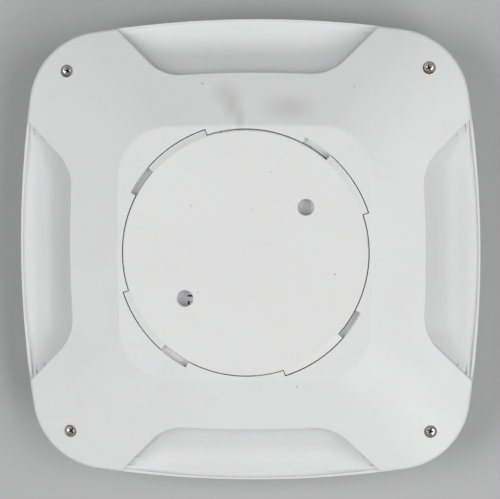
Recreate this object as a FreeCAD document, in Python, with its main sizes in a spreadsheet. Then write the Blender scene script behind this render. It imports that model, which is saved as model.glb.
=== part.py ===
import FreeCAD, Part
import math
import os
import Sketcher
from FreeCAD import Vector, Placement, Rotation

# Ceiling smoke detector, millimetres.
# Frame: origin at the centre of the bracket's ceiling face, +Z up to the
# ceiling. Everything hangs below z = 0; the front (room) face is lowest.

doc = FreeCAD.newDocument("SmokeDetector")
sheet = doc.addObject("Spreadsheet::Sheet", "Dims")

SIZES = [
    # housing outline: a square with bowed sides and round corners
    ("rim_half", 66.0), ("rim_bow", 305.0), ("rim_corner", 21.5),
    ("body_depth", 31.0), ("wall", 2.0),
    # rear cover: flat plateau, slope, short skirt
    ("plateau_drop", 0.5), ("plateau_half", 35.7), ("plateau_bow", 900.0),
    ("plateau_corner", 14.0), ("shoulder_round", 2.0),
    ("slope_foot", 14.0), ("parting", 15.2),
    # bracket and its bayonet
    ("disc_radius", 34.6), ("disc_thick", 3.2), ("disc_round", 0.5),
    ("recess_radius", 34.88), ("recess_floor", 3.5), ("floor_thick", 2.0),
    ("tab_radius", 36.2), ("notch_radius", 36.5), ("tab_drop", 0.9),
    ("foot_drop", 2.0), ("lip_under", 1.8), ("ledge_drop", 2.3), ("well_to", 33.5),
    ("tab_from", 17.9), ("tab_to", 48.5), ("foot_from", 4.2),
    ("notch_from", 17.5), ("notch_to", 62.2), ("undercut_from", 3.7),
    ("fix_hole_x", 17.1), ("fix_hole_y", 12.75), ("fix_hole_radius", 2.3),
    # side intakes
    ("intake_edge", 50.75), ("intake_bow", 300.0), ("intake_half", 23.7),
    ("intake_round", 13.0), ("edge_round", 0.4),
    ("lip_thick", 0.5), ("intake_slot", 1.6), ("slot_end", 59.5), ("cheek_gap", 1.25),
    ("tray_wall", 1.8), ("tray_top_edge", 50.3), ("tray_top_deep", 10.8),
    ("valley_edge", 58.8), ("valley_deep", 17.1),
    ("lip_drop", 0.5), ("tray_round", 8.0), ("tray_corner", 10.0),
    # corner screws
    ("screw_at", 51.65), ("head_radius", 1.55), ("bore_radius", 1.85),
    ("head_top", 12.35), ("head_seat", 13.4), ("shank_radius", 1.0),
    ("shank_end", 23.0), ("post_radius", 3.2),
    # circuit board
    ("board_top", 7.4), ("board_thick", 1.2), ("board_half", 42.0),
    ("board_corner", 14.0), ("board_screw_at", 33.0),
    # smoke chamber
    ("chamber_radius", 21.6), ("chamber_end", 23.2), ("mesh_radius", 22.3),
    # cells
    ("cell_radius", 7.8), ("cell_length", 27.0), ("cell_at", 32.4),
    ("cell_axis", 18.2), ("coin_radius", 10.0), ("coin_thick", 3.2),
    ("coin_x", 17.0), ("coin_y", 31.0),
    # sounder
    ("sounder_at", 35.5), ("sounder_radius", 12.4),
    # test button
    ("button_radius", 12.0), ("button_gap", 0.3), ("button_travel", 0.5),
    ("key_at", 6.6), ("lens_radius", 2.5),
    # switches behind the bracket
    ("tamper_at", 22.5), ("power_at", 22.5), ("power_travel", 2.0),
    # label
    ("label_x", -1.6), ("label_half_x", 19.8), ("label_half_y", 16.0), ("label_thick", 0.1),
]
for row, (name, value) in enumerate(SIZES, start=1):
    sheet.set("A%d" % row, name)
    sheet.set("B%d" % row, str(value))
    sheet.setAlias("B%d" % row, name)
doc.recompute()


class Size:
    """A length with its value and the sheet expression that gives it."""

    def __init__(self, value, text):
        self.v = float(value)
        self.text = text

    @staticmethod
    def of(other):
        if isinstance(other, Size):
            return other
        return Size(other, "(%r)" % float(other))

    def __add__(self, other):
        other = Size.of(other)
        return Size(self.v + other.v, "(%s + %s)" % (self.text, other.text))

    def __radd__(self, other):
        return Size.of(other) + self

    def __sub__(self, other):
        other = Size.of(other)
        return Size(self.v - other.v, "(%s - %s)" % (self.text, other.text))

    def __rsub__(self, other):
        return Size.of(other) - self

    def __mul__(self, other):
        other = Size.of(other)
        return Size(self.v * other.v, "(%s * %s)" % (self.text, other.text))

    def __rmul__(self, other):
        return Size.of(other) * self

    def __truediv__(self, other):
        other = Size.of(other)
        return Size(self.v / other.v, "(%s / %s)" % (self.text, other.text))

    def __neg__(self):
        return Size(-self.v, "(0 - %s)" % self.text)


D = {name: Size(value, "Dims." + name) for name, value in SIZES}
RADIAN = math.pi / 180.0


def sine(angle):
    return Size(math.sin(angle.v * RADIAN), "sin(%s * 1 deg)" % angle.text)


def cosine(angle):
    return Size(math.cos(angle.v * RADIAN), "cos(%s * 1 deg)" % angle.text)


# ---------------------------------------------------------------- helpers

def body(label):
    made = doc.addObject("PartDesign::Body", label)
    made.Label = label
    if hasattr(made, "AllowCompound"):
        made.AllowCompound = True
    return made


def plane_of(owner, role):
    for feature in owner.Origin.OriginFeatures:
        if feature.Role == role:
            return feature
    raise RuntimeError(role)


def sketch(owner, name, role="XY_Plane", offset=None):
    made = owner.newObject("Sketcher::SketchObject", name)
    made.AttachmentSupport = [(plane_of(owner, role), "")]
    made.MapMode = "FlatFace"
    if offset is not None:
        offset = Size.of(offset)
        made.AttachmentOffset = Placement(Vector(0, 0, offset.v), Rotation())
        made.setExpression("AttachmentOffset.Base.z", offset.text)
    return made


def bind(made, index, size):
    made.setExpression("Constraints[%d]" % index, size.text)


def pin(made, geo, pos, x, y):
    """Fix one point of the geometry at (x, y) from the sketch origin."""
    for kind, value in (("DistanceX", Size.of(x)), ("DistanceY", Size.of(y))):
        index = made.addConstraint(
            Sketcher.Constraint(kind, -1, 1, geo, pos, value.v))
        bind(made, index, value)


def circle(made, x, y, radius):
    x, y, radius = Size.of(x), Size.of(y), Size.of(radius)
    geo = made.addGeometry(
        Part.Circle(Vector(x.v, y.v, 0), Vector(0, 0, 1), radius.v), False)
    pin(made, geo, 3, x, y)
    index = made.addConstraint(Sketcher.Constraint("Radius", geo, radius.v))
    bind(made, index, radius)
    return geo


def polygon(made, points):
    points = [(Size.of(x), Size.of(y)) for x, y in points]
    geos = []
    count = len(points)
    for i in range(count):
        a, b = points[i], points[(i + 1) % count]
        geos.append(made.addGeometry(
            Part.LineSegment(Vector(a[0].v, a[1].v, 0),
                             Vector(b[0].v, b[1].v, 0)), False))
    for i in range(count):
        made.addConstraint(Sketcher.Constraint(
            "Coincident", geos[i], 2, geos[(i + 1) % count], 1))
    for i in range(count):
        pin(made, geos[i], 1, points[i][0], points[i][1])
    return geos


def rectangle(made, x, y, half_x, half_y):
    x, y = Size.of(x), Size.of(y)
    half_x, half_y = Size.of(half_x), Size.of(half_y)
    return polygon(made, [(x - half_x, y - half_y), (x + half_x, y - half_y),
                          (x + half_x, y + half_y), (x - half_x, y + half_y)])


def bowed_square(made, half, bow, corner):
    """Square outline whose sides are long arcs and whose corners are round."""
    half, bow, corner = Size.of(half), Size.of(bow), Size.of(corner)
    back = half.v - bow.v
    at = (back + math.sqrt(2 * (bow.v - corner.v) ** 2 - back * back)) / 2
    sweep = math.atan2(at, at - back)
    geos = []
    for k in range(4):
        turn = k * math.pi / 2
        geos.append(made.addGeometry(Part.ArcOfCircle(
            Part.Circle(Vector(back * math.cos(turn), back * math.sin(turn), 0),
                        Vector(0, 0, 1), bow.v), turn - sweep, turn + sweep), False))
        mid = turn + math.pi / 4
        far = at * math.sqrt(2)
        geos.append(made.addGeometry(Part.ArcOfCircle(
            Part.Circle(Vector(far * math.cos(mid), far * math.sin(mid), 0),
                        Vector(0, 0, 1), corner.v),
            turn + sweep, turn + math.pi / 2 - sweep), False))
    for i in range(8):
        made.addConstraint(Sketcher.Constraint(
            "Tangent", geos[i], 2, geos[(i + 1) % 8], 1))
    for k in range(4):
        side, round_ = geos[2 * k], geos[2 * k + 1]
        made.addConstraint(Sketcher.Constraint(
            "PointOnObject", side, 3, -1 if k % 2 == 0 else -2))
        index = made.addConstraint(Sketcher.Constraint(
            "Distance", side, 3, -1, 1, abs(back)))
        bind(made, index, bow - half)
        index = made.addConstraint(Sketcher.Constraint("Radius", side, bow.v))
        bind(made, index, bow)
        index = made.addConstraint(Sketcher.Constraint("Radius", round_, corner.v))
        bind(made, index, corner)
    return geos


def ring_sector(made, inner, outer, start, end):
    """Sector of a ring from the start angle to the end angle, degrees."""
    inner, outer = Size.of(inner), Size.of(outer)
    start, end = Size.of(start), Size.of(end)
    ci, si = cosine(start), sine(start)
    ce, se = cosine(end), sine(end)
    a, b = start.v * RADIAN, end.v * RADIAN
    z = Vector(0, 0, 1)
    out = made.addGeometry(Part.ArcOfCircle(
        Part.Circle(Vector(0, 0, 0), z, outer.v), a, b), False)
    inn = made.addGeometry(Part.ArcOfCircle(
        Part.Circle(Vector(0, 0, 0), z, inner.v), a, b), False)
    one = made.addGeometry(Part.LineSegment(
        Vector(inner.v * ci.v, inner.v * si.v, 0),
        Vector(outer.v * ci.v, outer.v * si.v, 0)), False)
    two = made.addGeometry(Part.LineSegment(
        Vector(outer.v * ce.v, outer.v * se.v, 0),
        Vector(inner.v * ce.v, inner.v * se.v, 0)), False)
    made.addConstraint(Sketcher.Constraint("Coincident", out, 3, -1, 1))
    made.addConstraint(Sketcher.Constraint("Coincident", inn, 3, -1, 1))
    made.addConstraint(Sketcher.Constraint("Coincident", one, 1, inn, 1))
    made.addConstraint(Sketcher.Constraint("Coincident", one, 2, out, 1))
    made.addConstraint(Sketcher.Constraint("Coincident", two, 1, out, 2))
    made.addConstraint(Sketcher.Constraint("Coincident", two, 2, inn, 2))
    pin(made, one, 1, inner * ci, inner * si)
    index = made.addConstraint(Sketcher.Constraint("Radius", out, outer.v))
    bind(made, index, outer)
    for geo, pos, radius, c, w in ((one, 2, outer, ci, si), (two, 1, outer, ce, se),
                                   (two, 2, inner, ce, se)):
        # one coordinate is enough, the arc gives the other
        kind, value = ("DistanceX", radius * c)
        if abs(c.v) > abs(w.v):
            kind, value = ("DistanceY", radius * w)
        index = made.addConstraint(Sketcher.Constraint(
            kind, -1, 1, geo, pos, value.v))
        bind(made, index, value)


def pad(owner, name, profile, length, upward=True):
    made = owner.newObject("PartDesign::Pad", name)
    made.Profile = profile
    length = Size.of(length)
    made.Length = length.v
    made.setExpression("Length", length.text)
    made.Reversed = not upward
    profile.Visibility = False
    doc.recompute()
    return made


def pocket(owner, name, profile, depth, downward=True):
    """Cut from the profile, downward unless told otherwise; must remove."""
    before = owner.Shape.Volume
    made = owner.newObject("PartDesign::Pocket", name)
    made.Profile = profile
    depth = Size.of(depth)
    made.Length = depth.v
    made.setExpression("Length", depth.text)
    made.Reversed = not downward
    doc.recompute()
    if not owner.Shape.Volume < before - 1e-6:
        raise RuntimeError("pocket %s removed nothing" % name)
    return made


def slot_through(owner, name, profile, width):
    """Cut a profile symmetrically about its plane, over the given width."""
    before = owner.Shape.Volume
    made = owner.newObject("PartDesign::Pocket", name)
    made.Profile = profile
    width = Size.of(width)
    made.Midplane = True
    made.Length = width.v
    made.setExpression("Length", width.text)
    doc.recompute()
    if not owner.Shape.Volume < before - 1e-6:
        raise RuntimeError("cut %s removed nothing" % name)
    return made


def loft(owner, name, profile, sections, additive=True):
    kind = "PartDesign::AdditiveLoft" if additive else "PartDesign::SubtractiveLoft"
    made = owner.newObject(kind, name)
    made.Profile = profile
    made.Sections = sections
    made.Ruled = True
    doc.recompute()
    return made


def around(owner, name, originals, count):
    """Repeat features round the vertical axis."""
    before = owner.Shape.Volume
    made = owner.newObject("PartDesign::PolarPattern", name)
    made.Originals = originals
    axis = None
    for feature in owner.Origin.OriginFeatures:
        if feature.Role == "Z_Axis":
            axis = feature
    made.Axis = (axis, [""])
    made.Angle = 360
    made.Occurrences = count
    owner.Tip = made
    doc.recompute()
    if abs(owner.Shape.Volume - before) < 1e-6:
        raise RuntimeError("pattern %s changed nothing" % name)
    return made


def pick(shape, test):
    return ["Edge%d" % (i + 1) for i, edge in enumerate(shape.Edges) if test(edge)]


def middle(edge):
    return edge.valueAt((edge.FirstParameter + edge.LastParameter) / 2.0)


def round_edges(owner, name, base, test, radius):
    names = pick(base.Shape, test)
    if not names:
        raise RuntimeError("no edges for %s" % name)
    made = owner.newObject("PartDesign::Fillet", name)
    made.Base = (base, names)
    radius = Size.of(radius)
    made.Radius = radius.v
    made.setExpression("Radius", radius.text)
    doc.recompute()
    return made


def place(made, x=0.0, y=0.0, z=0.0, axis=None, angle=0.0):
    x, y, z = Size.of(x), Size.of(y), Size.of(z)
    turn = Rotation(Vector(*axis), angle) if axis else Rotation()
    made.Placement = Placement(Vector(x.v, y.v, z.v), turn)
    for key, value in (("x", x), ("y", y), ("z", z)):
        made.setExpression("Placement.Base." + key, value.text)
    return made


def block(name, x, y, z, length, width, height, axis=None, angle=0.0):
    """Box centred on (x, y) with its lowest face at z."""
    made = doc.addObject("Part::Box", name)
    made.Label = name
    length, width, height = Size.of(length), Size.of(width), Size.of(height)
    for key, value in (("Length", length), ("Width", width), ("Height", height)):
        setattr(made, key, value.v)
        made.setExpression(key, value.text)
    if axis:
        return place(made, x, y, z, axis, angle)
    return place(made, Size.of(x) - length / 2, Size.of(y) - width / 2, z)


def rod(name, x, y, z, radius, height, axis=None, angle=0.0):
    """Cylinder standing on z, or turned about its base centre."""
    made = doc.addObject("Part::Cylinder", name)
    made.Label = name
    for key, value in (("Radius", Size.of(radius)), ("Height", Size.of(height))):
        setattr(made, key, value.v)
        made.setExpression(key, value.text)
    return place(made, x, y, z, axis, angle)


def join(name, parts):
    made = doc.addObject("Part::MultiFuse", name)
    made.Label = name
    made.Shapes = parts
    return made


def cut(name, base, tool):
    made = doc.addObject("Part::Cut", name)
    made.Label = name
    made.Base = base
    made.Tool = tool
    return made


def common(name, one, two):
    made = doc.addObject("Part::MultiCommon", name)
    made.Label = name
    made.Shapes = [one, two]
    return made


def group(name, parts):
    """Separate solids of one kind kept as one node."""
    made = doc.addObject("Part::Compound", name)
    made.Label = name
    made.Links = parts
    return made


CORNERS = [(1, 1), (-1, 1), (-1, -1), (1, -1)]
slope = (D["slope_foot"] - D["plateau_drop"]) / (D["rim_half"] - D["plateau_half"])

# ------------------------------------------------------- mounting bracket
bracket = body("mounting_bracket")
outline = sketch(bracket, "disc_outline", offset=-D["disc_thick"])
circle(outline, 0, 0, D["disc_radius"])
disc = pad(bracket, "disc", outline, D["disc_thick"])
edge = round_edges(bracket, "disc_edge", disc,
                   lambda e: abs(middle(e).z) < 1e-6, D["disc_round"])
outline = sketch(bracket, "tab_outline", offset=-D["foot_drop"])
ring_sector(outline, D["disc_radius"] - 4, D["tab_radius"], D["tab_from"], D["tab_to"])
tab = pad(bracket, "tab", outline, D["foot_drop"] - D["tab_drop"])
# the tab's upper face slopes from the disc's rounded edge to its own rim
crest = sketch(bracket, "tab_crest", offset=-0.1)
ring_sector(crest, D["disc_radius"] - 4, D["disc_radius"] - 0.2, D["tab_from"], D["tab_to"])
skirt_line = sketch(bracket, "tab_rim", offset=-D["tab_drop"])
ring_sector(skirt_line, D["disc_radius"] - 4, D["tab_radius"], D["tab_from"], D["tab_to"])
tab_slope = loft(bracket, "tab_slope", crest, [skirt_line])
outline = sketch(bracket, "foot_outline", offset=-D["disc_thick"])
ring_sector(outline, D["disc_radius"] - 4, D["tab_radius"], D["foot_from"],
            D["tab_from"] + 1)
foot = pad(bracket, "foot", outline, D["disc_thick"] - D["foot_drop"])
around(bracket, "four_tabs", [tab, tab_slope, foot], 4)
outline = sketch(bracket, "fixing_holes", offset=0.5)
circle(outline, D["fix_hole_x"], D["fix_hole_y"], D["fix_hole_radius"])
circle(outline, -D["fix_hole_x"], -D["fix_hole_y"], D["fix_hole_radius"])
holes = pocket(bracket, "fixing_hole_cut", outline, D["disc_thick"] + 1)
round_edges(bracket, "hole_edges", holes,
            lambda e: abs(middle(e).z) < 1e-6
            and Vector(middle(e).x, middle(e).y, 0).Length < 30, 0.25)

# ------------------------------------------------------------- rear cover
rear = body("rear_cover")
top = sketch(rear, "plateau_outline", offset=-D["plateau_drop"])
bowed_square(top, D["plateau_half"], D["plateau_bow"], D["plateau_corner"])
foot_line = sketch(rear, "slope_outline", offset=-D["slope_foot"])
bowed_square(foot_line, D["rim_half"], D["rim_bow"], D["rim_corner"])
outer = loft(rear, "outer_form", top, [foot_line])
outline = sketch(rear, "skirt_outline", offset=-D["slope_foot"])
bowed_square(outline, D["rim_half"], D["rim_bow"], D["rim_corner"])
skirt = pad(rear, "skirt", outline, D["parting"] - D["slope_foot"], upward=False)
shoulder = round_edges(
    rear, "shoulder", skirt,
    lambda e: all(abs(v.Point.z + D["plateau_drop"].v) < 1e-6 for v in e.Vertexes),
    D["shoulder_round"])
brow = round_edges(
    rear, "rim_brow", shoulder,
    lambda e: all(abs(v.Point.z + D["slope_foot"].v) < 1e-6 for v in e.Vertexes),
    1.2)
inner_top = sketch(rear, "inner_plateau", offset=-D["plateau_drop"] - 2.1)
bowed_square(inner_top, D["plateau_half"] - 0.2, D["plateau_bow"],
             D["plateau_corner"] - 0.2)
inner_foot = sketch(rear, "inner_foot", offset=-D["parting"] - 0.1)
bowed_square(inner_foot, D["rim_half"] - D["wall"], D["rim_bow"] - D["wall"],
             D["rim_corner"] - D["wall"])
hollow = loft(rear, "hollow", inner_top, [inner_foot], additive=False)
# round dish that takes the bracket
dish_under = D["recess_floor"] + D["floor_thick"]
outline = sketch(rear, "dish_outline", offset=-dish_under)
circle(outline, 0, 0, D["notch_radius"] + 1.5)
pad(rear, "dish", outline, dish_under - 2.1)
# bosses for the corner screws and for the board
outline = sketch(rear, "corner_bosses", offset=-D["parting"] - 0.8)
for sx, sy in CORNERS:
    circle(outline, D["screw_at"] * sx, D["screw_at"] * sy, D["post_radius"] + 0.3)
pad(rear, "corner_boss", outline, 2.5)
outline = sketch(rear, "board_bosses", offset=-D["board_top"])
for sx, sy in CORNERS:
    circle(outline, D["board_screw_at"] * sx, D["board_screw_at"] * sy, 2.6)
pad(rear, "board_boss", outline, D["board_top"] - 2.3)
outline = sketch(rear, "recess_outline", offset=0)
circle(outline, 0, 0, D["recess_radius"])
pocket(rear, "recess", outline, D["recess_floor"])
outline = sketch(rear, "notch_outline", offset=0)
ring_sector(outline, D["recess_radius"] - 3, D["notch_radius"], D["notch_from"],
            D["notch_to"])
notch = pocket(rear, "notch", outline, D["ledge_drop"])
# only the part that the foot turns into goes down to the floor
outline = sketch(rear, "foot_well_outline", offset=0)
ring_sector(outline, D["recess_radius"] - 3, D["notch_radius"], D["notch_from"],
            D["well_to"])
foot_well = pocket(rear, "foot_well", outline, D["recess_floor"])
outline = sketch(rear, "undercut_outline", offset=-D["lip_under"])
ring_sector(outline, D["recess_radius"] - 3, D["notch_radius"], D["undercut_from"],
            D["notch_from"] + 1)
undercut = pocket(rear, "undercut", outline, D["recess_floor"] - D["lip_under"])
around(rear, "four_notches", [notch, foot_well, undercut], 4)
# openings in the recess floor for the two switches
outline = sketch(rear, "switch_openings", offset=-D["recess_floor"] + 0.5)
circle(outline, 0, D["tamper_at"], 1.35)
rectangle(outline, 0, -D["power_at"], 2.4, 1.15)
pocket(rear, "switch_opening", outline, D["floor_thick"] + 1)
# screw seats
outline = sketch(rear, "screw_seats", offset=-9)
for sx, sy in CORNERS:
    circle(outline, D["screw_at"] * sx, D["screw_at"] * sy, D["bore_radius"])
pocket(rear, "screw_seat", outline, D["head_seat"] - 9)
outline = sketch(rear, "screw_clearance", offset=-12)
for sx, sy in CORNERS:
    circle(outline, D["screw_at"] * sx, D["screw_at"] * sy, 1.15)
pocket(rear, "screw_clear", outline, 6)
outline = sketch(rear, "board_pilots", offset=-D["board_top"] - 0.5)
for sx, sy in CORNERS:
    circle(outline, D["board_screw_at"] * sx, D["board_screw_at"] * sy, 0.82)
pocket(rear, "board_pilot", outline, 4.5, downward=False)
# the four side openings that leave four arms running to the corners
outline = sketch(rear, "side_opening", offset=2)
half, bow_r = D["intake_half"], D["intake_bow"]
centre_y = D["intake_edge"] - bow_r
far_y = D["rim_half"] + 6
rise_y = math.sqrt(bow_r.v ** 2 - half.v ** 2)
near_y = centre_y.v + rise_y
turn = math.atan2(rise_y, half.v)
reach = far_y.v - near_y
arc = outline.addGeometry(Part.ArcOfCircle(
    Part.Circle(Vector(0, centre_y.v, 0), Vector(0, 0, 1), bow_r.v),
    turn, math.pi - turn), False)
right = outline.addGeometry(Part.LineSegment(
    Vector(half.v, near_y, 0), Vector(half.v + reach, far_y.v, 0)), False)
close = outline.addGeometry(Part.LineSegment(
    Vector(half.v + reach, far_y.v, 0), Vector(-half.v - reach, far_y.v, 0)), False)
left = outline.addGeometry(Part.LineSegment(
    Vector(-half.v - reach, far_y.v, 0), Vector(-half.v, near_y, 0)), False)
for a, b, c, d in ((arc, 1, right, 1), (right, 2, close, 1), (close, 2, left, 1),
                   (left, 2, arc, 2)):
    outline.addConstraint(Sketcher.Constraint("Coincident", a, b, c, d))
outline.addConstraint(Sketcher.Constraint("PointOnObject", arc, 3, -2))
bind(outline, outline.addConstraint(Sketcher.Constraint(
    "Distance", arc, 3, -1, 1, -centre_y.v)), bow_r - D["intake_edge"])
bind(outline, outline.addConstraint(Sketcher.Constraint(
    "Radius", arc, bow_r.v)), bow_r)
bind(outline, outline.addConstraint(Sketcher.Constraint(
    "DistanceX", -1, 1, right, 1, half.v)), half)
bind(outline, outline.addConstraint(Sketcher.Constraint(
    "DistanceX", -1, 1, left, 2, -half.v)), -half)
bind(outline, outline.addConstraint(Sketcher.Constraint(
    "DistanceY", -1, 1, right, 2, far_y.v)), far_y)
outline.addConstraint(Sketcher.Constraint("Horizontal", close))
outline.addConstraint(Sketcher.Constraint("Angle", right, math.pi / 4))
outline.addConstraint(Sketcher.Constraint("Equal", left, right))
side = pocket(rear, "side_cut", outline, 20)
sides = around(rear, "four_sides", [side], 4)


def side_corner(e):
    low, high = e.Vertexes[0].Point, e.Vertexes[-1].Point
    if Vector(low.x - high.x, low.y - high.y, 0).Length > 1e-3:
        return False
    reach_x, reach_y = sorted((abs(low.x), abs(low.y)))
    return (abs(reach_y - near_y) < 0.01
            and abs(reach_x - D["intake_half"].v) < 0.01)


side_turn = round_edges(rear, "side_rounds", sides, side_corner, D["intake_round"])


def opening_rim(e):
    """Upper edges of the four side openings."""
    m = middle(e)
    x, y = sorted((abs(m.x), abs(m.y)))
    surface = -D["plateau_drop"].v - slope.v * (y - D["plateau_half"].v)
    if y < 49 or m.z < surface - 1.3 or len(e.Vertexes) != 2:
        return False
    a, b = [v.Point for v in e.Vertexes]
    if Vector(a.x - b.x, a.y - b.y, 0).Length < 0.5:
        return False
    on_arc = abs(math.hypot(x, y - centre_y.v) - bow_r.v) < 0.03
    on_diagonal = abs((x - half.v) - (y - near_y)) < 0.03
    return (on_arc and x < half.v) or (on_diagonal and y < 64)


opening_edge = round_edges(rear, "opening_rims", side_turn, opening_rim,
                           D["edge_round"])

# ------------------------------------------------------------ front cover
front_form = body("front_form")
rim_line = sketch(front_form, "rim_line", offset=-D["parting"])
bowed_square(rim_line, D["rim_half"], D["rim_bow"], D["rim_corner"])
face_line = sketch(front_form, "face_line", offset=-D["body_depth"])
bowed_square(face_line, D["rim_half"] - 2, D["rim_bow"], D["rim_corner"] - 1)
form = loft(front_form, "form", rim_line, [face_line])
round_edges(front_form, "face_round", form,
            lambda e: all(abs(v.Point.z + D["body_depth"].v) < 1e-6
                          for v in e.Vertexes), 11)
front_hollow = body("front_hollow")
line_a = sketch(front_hollow, "hollow_top", offset=-D["parting"] + 1)
bowed_square(line_a, D["rim_half"] - D["wall"] + 0.12, D["rim_bow"] - D["wall"],
             D["rim_corner"] - D["wall"] + 0.06)
line_b = sketch(front_hollow, "hollow_face", offset=-D["body_depth"] + D["wall"])
bowed_square(line_b, D["rim_half"] - D["wall"] - 1.75, D["rim_bow"] - D["wall"],
             D["rim_corner"] - D["wall"] - 0.88)
form = loft(front_hollow, "form_inside", line_a, [line_b])
round_edges(front_hollow, "inside_round", form,
            lambda e: all(abs(v.Point.z + D["body_depth"].v - D["wall"].v) < 1e-6
                          for v in e.Vertexes), 9)
front_shell = cut("front_shell", front_form, front_hollow)

# plates that carry each tray's floor over to the side wall
shelf_at = D["rim_half"] - 2.7
posts = join("posts_and_shelves", [
    rod("post_%d" % i, D["screw_at"] * sx, D["screw_at"] * sy, -D["body_depth"],
        D["post_radius"], D["body_depth"] - D["parting"] - 0.8)
    for i, (sx, sy) in enumerate(CORNERS)] + [
    block("shelf_a", 0, shelf_at, -17.6, 68.0, 2.6, 2.4),
    block("shelf_b", 0, -shelf_at, -17.6, 68.0, 2.6, 2.4),
    block("shelf_c", shelf_at, 0, -17.6, 2.6, 68.0, 2.4),
    block("shelf_d", -shelf_at, 0, -17.6, 2.6, 68.0, 2.4)])
front_copy = body("front_form_again")
line_a2 = sketch(front_copy, "rim_again", offset=-D["parting"])
bowed_square(line_a2, D["rim_half"], D["rim_bow"], D["rim_corner"])
line_b2 = sketch(front_copy, "face_again", offset=-D["body_depth"])
bowed_square(line_b2, D["rim_half"] - 2, D["rim_bow"], D["rim_corner"] - 1)
form = loft(front_copy, "form_again", line_a2, [line_b2])
round_edges(front_copy, "face_round_again", form,
            lambda e: all(abs(v.Point.z + D["body_depth"].v) < 1e-6
                          for v in e.Vertexes), 11)
posts_in = common("posts_and_shelves_inside", posts, front_copy)


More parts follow.
